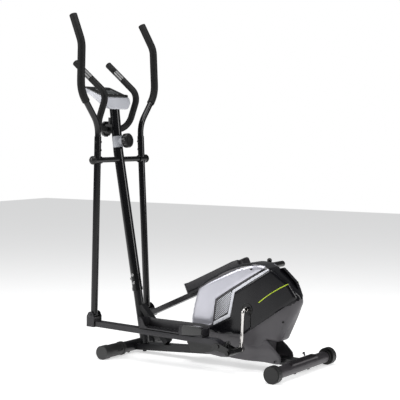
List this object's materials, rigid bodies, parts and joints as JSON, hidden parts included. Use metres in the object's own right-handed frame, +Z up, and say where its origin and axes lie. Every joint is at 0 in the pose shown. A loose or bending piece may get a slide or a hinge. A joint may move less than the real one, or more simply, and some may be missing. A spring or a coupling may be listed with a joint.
{
  "type": "elliptical trainer",
  "caption": "Elliptical trainer with swinging arm levers, pedal bars on a rear crank, a magnetic flywheel in a plastic housing, a fixed handlebar and a tilted console.",
  "frame": {"origin": "on the floor, under the middle of the bounding box", "axes": "+Z up, +X from the mast to the flywheel housing (the user faces -X), +Y to the user's right"},
  "size_m": [1.2301, 0.643, 1.6118],
  "materials": {
    "frame_black": "satin",
    "gloss_black_paint": "gloss",
    "bar_grey": "satin",
    "joint_black": "satin",
    "stabilizer_grey": "satin",
    "cap_grey": "fine grain",
    "cap_black": "fine grain",
    "fastener_black": "satin",
    "fastener_zinc": "satin",
    "scale_grey": "satin",
    "foam": "matt foam",
    "pulse_steel": "brushed",
    "console_silver": "satin",
    "console_black": "gloss",
    "screen": "gloss",
    "housing_grey": "satin",
    "housing_silver": "silver lacquer",
    "vent_silver": "satin",
    "housing_black": "gloss",
    "accent_green": "gloss",
    "bearing_steel": "ground",
    "belt_rubber": "matt",
    "crank_chrome": "polished",
    "flywheel_iron": "painted",
    "knob_black": "fine grain",
    "button_grey": "satin",
    "wheel_rubber": "matt",
    "pedal_black": "moulded grain"
  },
  "bodies": {
    "root": {"base_frame": "frame_black", "front_stabilizer": "frame_black", "front_end_caps": "cap_grey", "rear_stabilizer": "stabilizer_grey", "rear_end_caps": "cap_black", "rear_saddle": "stabilizer_grey", "frame_bolts": "fastener_black", "mast": "gloss_black_paint", "mast_bolts": "fastener_zinc", "scale_plate": "scale_grey", "knob_base": "scale_grey", "lever_axle": "gloss_black_paint", "axle_caps": "cap_black", "fixed_handlebar": "gloss_black_paint", "fixed_grips": "foam", "pulse_plates": "pulse_steel", "handlebar_clamp": "cap_black", "console_shell": "console_silver", "console_face": "console_black", "console_screen": "screen", "housing_left": "housing_grey", "housing_right": "housing_grey", "silver_panels": "housing_silver", "vents": "vent_silver", "black_panels": "housing_black", "accent_stripes": "accent_green", "hub_rings": "cap_black", "chin_cover": "cap_grey", "shroud_screws": "fastener_black", "crank_bearings": "bearing_steel", "drive_bracket": "frame_black", "flywheel_axle": "bearing_steel", "magnet_arm": "bearing_steel", "drive_belt": "belt_rubber"},
    "crank": {"crank_axle": "crank_chrome", "drive_pulley": "cap_black", "left_crank": "crank_chrome", "right_crank": "crank_chrome"},
    "flywheel": {"flywheel": "flywheel_iron"},
    "tension_knob": {"tension_knob": "knob_black"},
    "handlebar_knob": {"handlebar_knob": "knob_black"},
    "mode_button": {"mode_button": "button_grey"},
    "set_button": {"set_button": "button_grey"},
    "reset_button": {"reset_button": "button_grey"},
    "left_wheel": {"left_wheel": "wheel_rubber"},
    "right_wheel": {"right_wheel": "wheel_rubber"},
    "left_lever": {"left_lever": "gloss_black_paint", "left_handle": "gloss_black_paint", "left_grip": "foam", "left_lever_bolts": "fastener_black"},
    "right_lever": {"right_lever": "gloss_black_paint", "right_handle": "gloss_black_paint", "right_grip": "foam", "right_lever_bolts": "fastener_black"},
    "left_pedal_bar": {"left_bar": "bar_grey", "left_pedal": "pedal_black", "left_rear_joint": "joint_black"},
    "right_pedal_bar": {"right_bar": "bar_grey", "right_pedal": "pedal_black", "right_rear_joint": "joint_black"}
  },
  "joints": [
    {"name": "crank_spin", "type": "hinge", "parent": "root", "child": "crank", "pos_m": [0.341, 0, 0.274], "axis": [0, 1, 0], "continuous": true},
    {"name": "flywheel_spin", "type": "hinge", "parent": "root", "child": "flywheel", "pos_m": [0.186, 0, 0.236], "axis": [0, 1, 0], "continuous": true},
    {"name": "left_lever_swing", "type": "hinge", "parent": "root", "child": "left_lever", "pos_m": [-0.4325, 0, 0.928], "axis": [0, 1, 0], "range_deg": [-15.6, 11.6]},
    {"name": "right_lever_swing", "type": "hinge", "parent": "root", "child": "right_lever", "pos_m": [-0.4325, 0, 0.928], "axis": [0, 1, 0], "range_deg": [-11.6, 15.6]},
    {"name": "left_bar_pivot", "type": "hinge", "parent": "left_lever", "child": "left_pedal_bar", "pos_m": [-0.45785, -0.172, 0.19043], "axis": [0, 1, 0], "range_deg": [-11.6, 15.6]},
    {"name": "right_bar_pivot", "type": "hinge", "parent": "right_lever", "child": "right_pedal_bar", "pos_m": [-0.40138, 0.172, 0.19066], "axis": [0, 1, 0], "range_deg": [-15.6, 11.6]},
    {"name": "tension_turn", "type": "hinge", "parent": "root", "child": "tension_knob", "pos_m": [-0.44749, 0, 1.013], "axis": [0.9939, 0, 0.1102], "range_deg": [0, 280]},
    {"name": "handlebar_knob_turn", "type": "hinge", "parent": "root", "child": "handlebar_knob", "pos_m": [-0.5084, 0, 1.075], "axis": [-1, 0, 0], "continuous": true},
    {"name": "left_wheel_spin", "type": "hinge", "parent": "root", "child": "left_wheel", "pos_m": [-0.394, -0.19, 0.023], "axis": [0, 1, 0], "continuous": true},
    {"name": "right_wheel_spin", "type": "hinge", "parent": "root", "child": "right_wheel", "pos_m": [-0.394, 0.19, 0.023], "axis": [0, 1, 0], "continuous": true},
    {"name": "mode_button_press", "type": "slide", "parent": "root", "child": "mode_button", "axis": [-0.3649, 0, -0.9311], "range_m": [0, 0.0015], "stiffness_N_per_m": 600},
    {"name": "set_button_press", "type": "slide", "parent": "root", "child": "set_button", "axis": [-0.3649, 0, -0.9311], "range_m": [0, 0.0015], "stiffness_N_per_m": 600},
    {"name": "reset_button_press", "type": "slide", "parent": "root", "child": "reset_button", "axis": [-0.3649, 0, -0.9311], "range_m": [0, 0.0015], "stiffness_N_per_m": 600}
  ],
  "couplings": [
    {"joint": "flywheel_spin", "follows": "crank_spin", "ratio": 6.65},
    {"joint": "right_lever_swing", "follows": "left_lever_swing", "ratio": -1},
    {"joint": "left_bar_pivot", "follows": "left_lever_swing", "ratio": -1},
    {"joint": "right_bar_pivot", "follows": "left_lever_swing", "ratio": 1}
  ]
}
